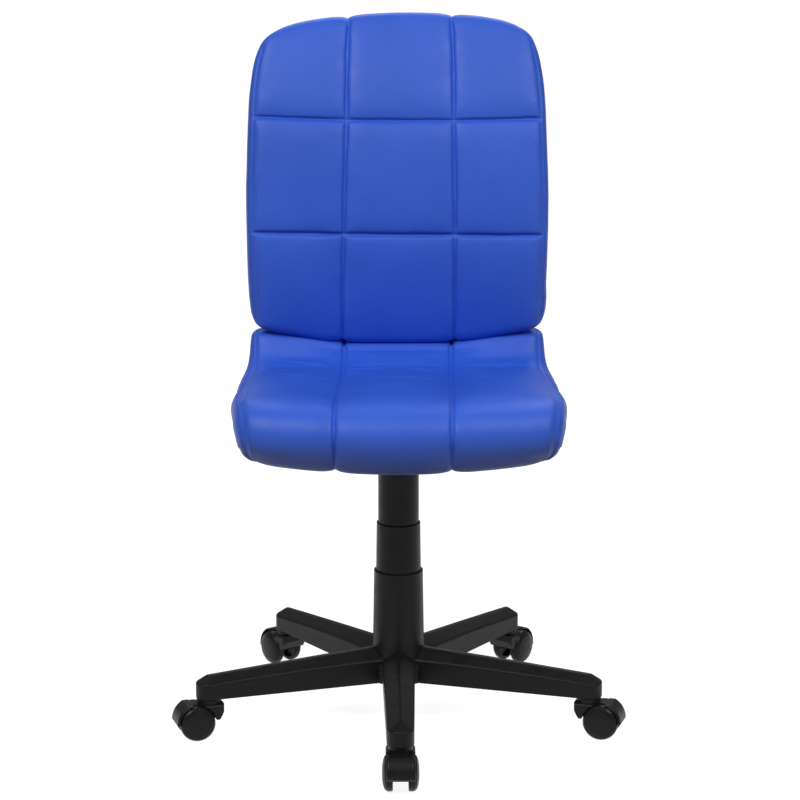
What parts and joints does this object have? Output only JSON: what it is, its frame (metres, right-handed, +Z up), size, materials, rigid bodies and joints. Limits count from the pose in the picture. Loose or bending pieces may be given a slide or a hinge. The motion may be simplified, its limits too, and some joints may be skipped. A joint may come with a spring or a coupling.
{
  "type": "swivel office chair",
  "caption": "Armless mid-back office chair with quilted vinyl seat and back, gas-lift column with telescopic covers and five-star base on twin-wheel casters.",
  "frame": {"origin": "on the floor, on the axis of the gas lift", "axes": "+Z up along the gas lift; the chair faces -Y; +X is to the right as seen from in front"},
  "size_m": [0.6384, 0.6076, 0.978],
  "materials": {
    "base_nylon": "fine-textured black glass-filled nylon",
    "cover_plastic": "satin black",
    "hood_plastic": "satin black",
    "wheel_nylon": "satin black, hard tread",
    "grip_plastic": "matt black",
    "acetal": "natural acetal",
    "black_steel": "black powder coat",
    "bright_steel": "zinc plated",
    "spring_steel": "oiled spring steel",
    "blue_vinyl": "soft grained vinyl upholstery, stitched",
    "plywood": "moulded birch plywood",
    "black_cloth": "non-woven dust cover"
  },
  "bodies": {
    "base": {"five_star_base": "base_nylon", "lower_cover": "cover_plastic", "stand_tube": "black_steel", "guide_bush": "acetal", "thrust_race_lower": "bright_steel", "thrust_balls": "bright_steel"},
    "piston_rod": {"piston_rod": "bright_steel", "thrust_race_upper": "bright_steel", "rod_clip": "bright_steel"},
    "middle_cover": {"middle_cover": "cover_plastic"},
    "column": {"gas_cylinder": "black_steel", "upper_cover": "cover_plastic", "taper_socket": "black_steel", "tilt_housing": "black_steel", "pivot_pin": "bright_steel", "pivot_clips": "bright_steel", "tilt_spring": "spring_steel"},
    "release_button": {"release_button": "bright_steel"},
    "lever": {"lever_rod": "bright_steel", "lever_bush": "acetal", "lever_grip": "grip_plastic"},
    "seat": {"seat_plate": "black_steel", "tension_bolt": "bright_steel", "seat_under_cover": "black_cloth", "seat_board": "plywood", "seat_cushion": "blue_vinyl", "plate_bolts": "bright_steel", "bracket_bolts": "bright_steel", "tee_nuts": "bright_steel", "back_bracket": "black_steel", "back_board": "plywood", "back_cushion": "blue_vinyl", "back_rear_panel": "blue_vinyl", "back_bolts": "bright_steel"},
    "tension_knob": {"tension_knob": "grip_plastic"},
    "caster_1": {"caster_1_hood": "hood_plastic", "caster_1_stem": "bright_steel", "caster_1_axle": "bright_steel"},
    "caster_1_wheel_left": {"caster_1_wheel_left": "wheel_nylon"},
    "caster_1_wheel_right": {"caster_1_wheel_right": "wheel_nylon"},
    "caster_2": {"caster_2_hood": "hood_plastic", "caster_2_stem": "bright_steel", "caster_2_axle": "bright_steel"},
    "caster_2_wheel_left": {"caster_2_wheel_left": "wheel_nylon"},
    "caster_2_wheel_right": {"caster_2_wheel_right": "wheel_nylon"},
    "caster_3": {"caster_3_hood": "hood_plastic", "caster_3_stem": "bright_steel", "caster_3_axle": "bright_steel"},
    "caster_3_wheel_left": {"caster_3_wheel_left": "wheel_nylon"},
    "caster_3_wheel_right": {"caster_3_wheel_right": "wheel_nylon"},
    "caster_4": {"caster_4_hood": "hood_plastic", "caster_4_stem": "bright_steel", "caster_4_axle": "bright_steel"},
    "caster_4_wheel_left": {"caster_4_wheel_left": "wheel_nylon"},
    "caster_4_wheel_right": {"caster_4_wheel_right": "wheel_nylon"},
    "caster_5": {"caster_5_hood": "hood_plastic", "caster_5_stem": "bright_steel", "caster_5_axle": "bright_steel"},
    "caster_5_wheel_left": {"caster_5_wheel_left": "wheel_nylon"},
    "caster_5_wheel_right": {"caster_5_wheel_right": "wheel_nylon"}
  },
  "joints": [
    {"name": "seat_swivel", "type": "hinge", "parent": "base", "child": "piston_rod", "pos_m": [0, 0, 0.05], "axis": [0, 0, 1], "continuous": true},
    {"name": "height_lift", "type": "slide", "parent": "piston_rod", "child": "column", "axis": [0, 0, 1], "range_m": [-0.085, 0.03]},
    {"name": "cover_follow", "type": "slide", "parent": "base", "child": "middle_cover", "axis": [0, 0, 1], "range_m": [-0.0425, 0.015]},
    {"name": "seat_tilt", "type": "hinge", "parent": "column", "child": "seat", "pos_m": [0, -0.04, 0.424], "axis": [-1, 0, 0], "range_deg": [0, 10], "stiffness_Nm_per_rad": 110, "springref_deg": -20.05, "deforming": ["tilt_spring"]},
    {"name": "knob_turn", "type": "hinge", "parent": "seat", "child": "tension_knob", "pos_m": [0, -0.09, 0.391], "axis": [0, 0, 1], "continuous": true},
    {"name": "lever_lift", "type": "hinge", "parent": "column", "child": "lever", "pos_m": [0.04, 0, 0.4125], "axis": [0, -1, 0], "range_deg": [0, 4.3]},
    {"name": "button_press", "type": "slide", "parent": "column", "child": "release_button", "axis": [0, 0, 1], "range_m": [-0.0031, 0], "stiffness_N_per_m": 2500, "springref_m": 0.002},
    {"name": "caster_1_swivel", "type": "hinge", "parent": "base", "child": "caster_1", "pos_m": [0, -0.28, 0.0568], "axis": [0, 0, 1], "continuous": true},
    {"name": "caster_1_roll_left", "type": "hinge", "parent": "caster_1", "child": "caster_1_wheel_left", "pos_m": [0, -0.3008, 0.025], "axis": [1, 0, 0], "continuous": true},
    {"name": "caster_1_roll_right", "type": "hinge", "parent": "caster_1", "child": "caster_1_wheel_right", "pos_m": [0, -0.3008, 0.025], "axis": [1, 0, 0], "continuous": true},
    {"name": "caster_2_swivel", "type": "hinge", "parent": "base", "child": "caster_2", "pos_m": [0.2663, -0.08652, 0.0568], "axis": [0, 0, 1], "continuous": true},
    {"name": "caster_2_roll_left", "type": "hinge", "parent": "caster_2", "child": "caster_2_wheel_left", "pos_m": [0.28608, -0.09295, 0.025], "axis": [0.309, 0.9511, 0], "continuous": true},
    {"name": "caster_2_roll_right", "type": "hinge", "parent": "caster_2", "child": "caster_2_wheel_right", "pos_m": [0.28608, -0.09295, 0.025], "axis": [0.309, 0.9511, 0], "continuous": true},
    {"name": "caster_3_swivel", "type": "hinge", "parent": "base", "child": "caster_3", "pos_m": [0.16458, 0.22652, 0.0568], "axis": [0, 0, 1], "continuous": true},
    {"name": "caster_3_roll_left", "type": "hinge", "parent": "caster_3", "child": "caster_3_wheel_left", "pos_m": [0.17681, 0.24335, 0.025], "axis": [-0.809, 0.5878, 0], "continuous": true},
    {"name": "caster_3_roll_right", "type": "hinge", "parent": "caster_3", "child": "caster_3_wheel_right", "pos_m": [0.17681, 0.24335, 0.025], "axis": [-0.809, 0.5878, 0], "continuous": true},
    {"name": "caster_4_swivel", "type": "hinge", "parent": "base", "child": "caster_4", "pos_m": [-0.16458, 0.22652, 0.0568], "axis": [0, 0, 1], "continuous": true},
    {"name": "caster_4_roll_left", "type": "hinge", "parent": "caster_4", "child": "caster_4_wheel_left", "pos_m": [-0.17681, 0.24335, 0.025], "axis": [-0.809, -0.5878, 0], "continuous": true},
    {"name": "caster_4_roll_right", "type": "hinge", "parent": "caster_4", "child": "caster_4_wheel_right", "pos_m": [-0.17681, 0.24335, 0.025], "axis": [-0.809, -0.5878, 0], "continuous": true},
    {"name": "caster_5_swivel", "type": "hinge", "parent": "base", "child": "caster_5", "pos_m": [-0.2663, -0.08652, 0.0568], "axis": [0, 0, 1], "continuous": true},
    {"name": "caster_5_roll_left", "type": "hinge", "parent": "caster_5", "child": "caster_5_wheel_left", "pos_m": [-0.28608, -0.09295, 0.025], "axis": [0.309, -0.9511, 0], "continuous": true},
    {"name": "caster_5_roll_right", "type": "hinge", "parent": "caster_5", "child": "caster_5_wheel_right", "pos_m": [-0.28608, -0.09295, 0.025], "axis": [0.309, -0.9511, 0], "continuous": true}
  ],
  "couplings": [
    {"joint": "cover_follow", "follows": "height_lift", "ratio": 0.5},
    {"joint": "button_press", "follows": "lever_lift", "m_per_rad": -0.04}
  ]
}
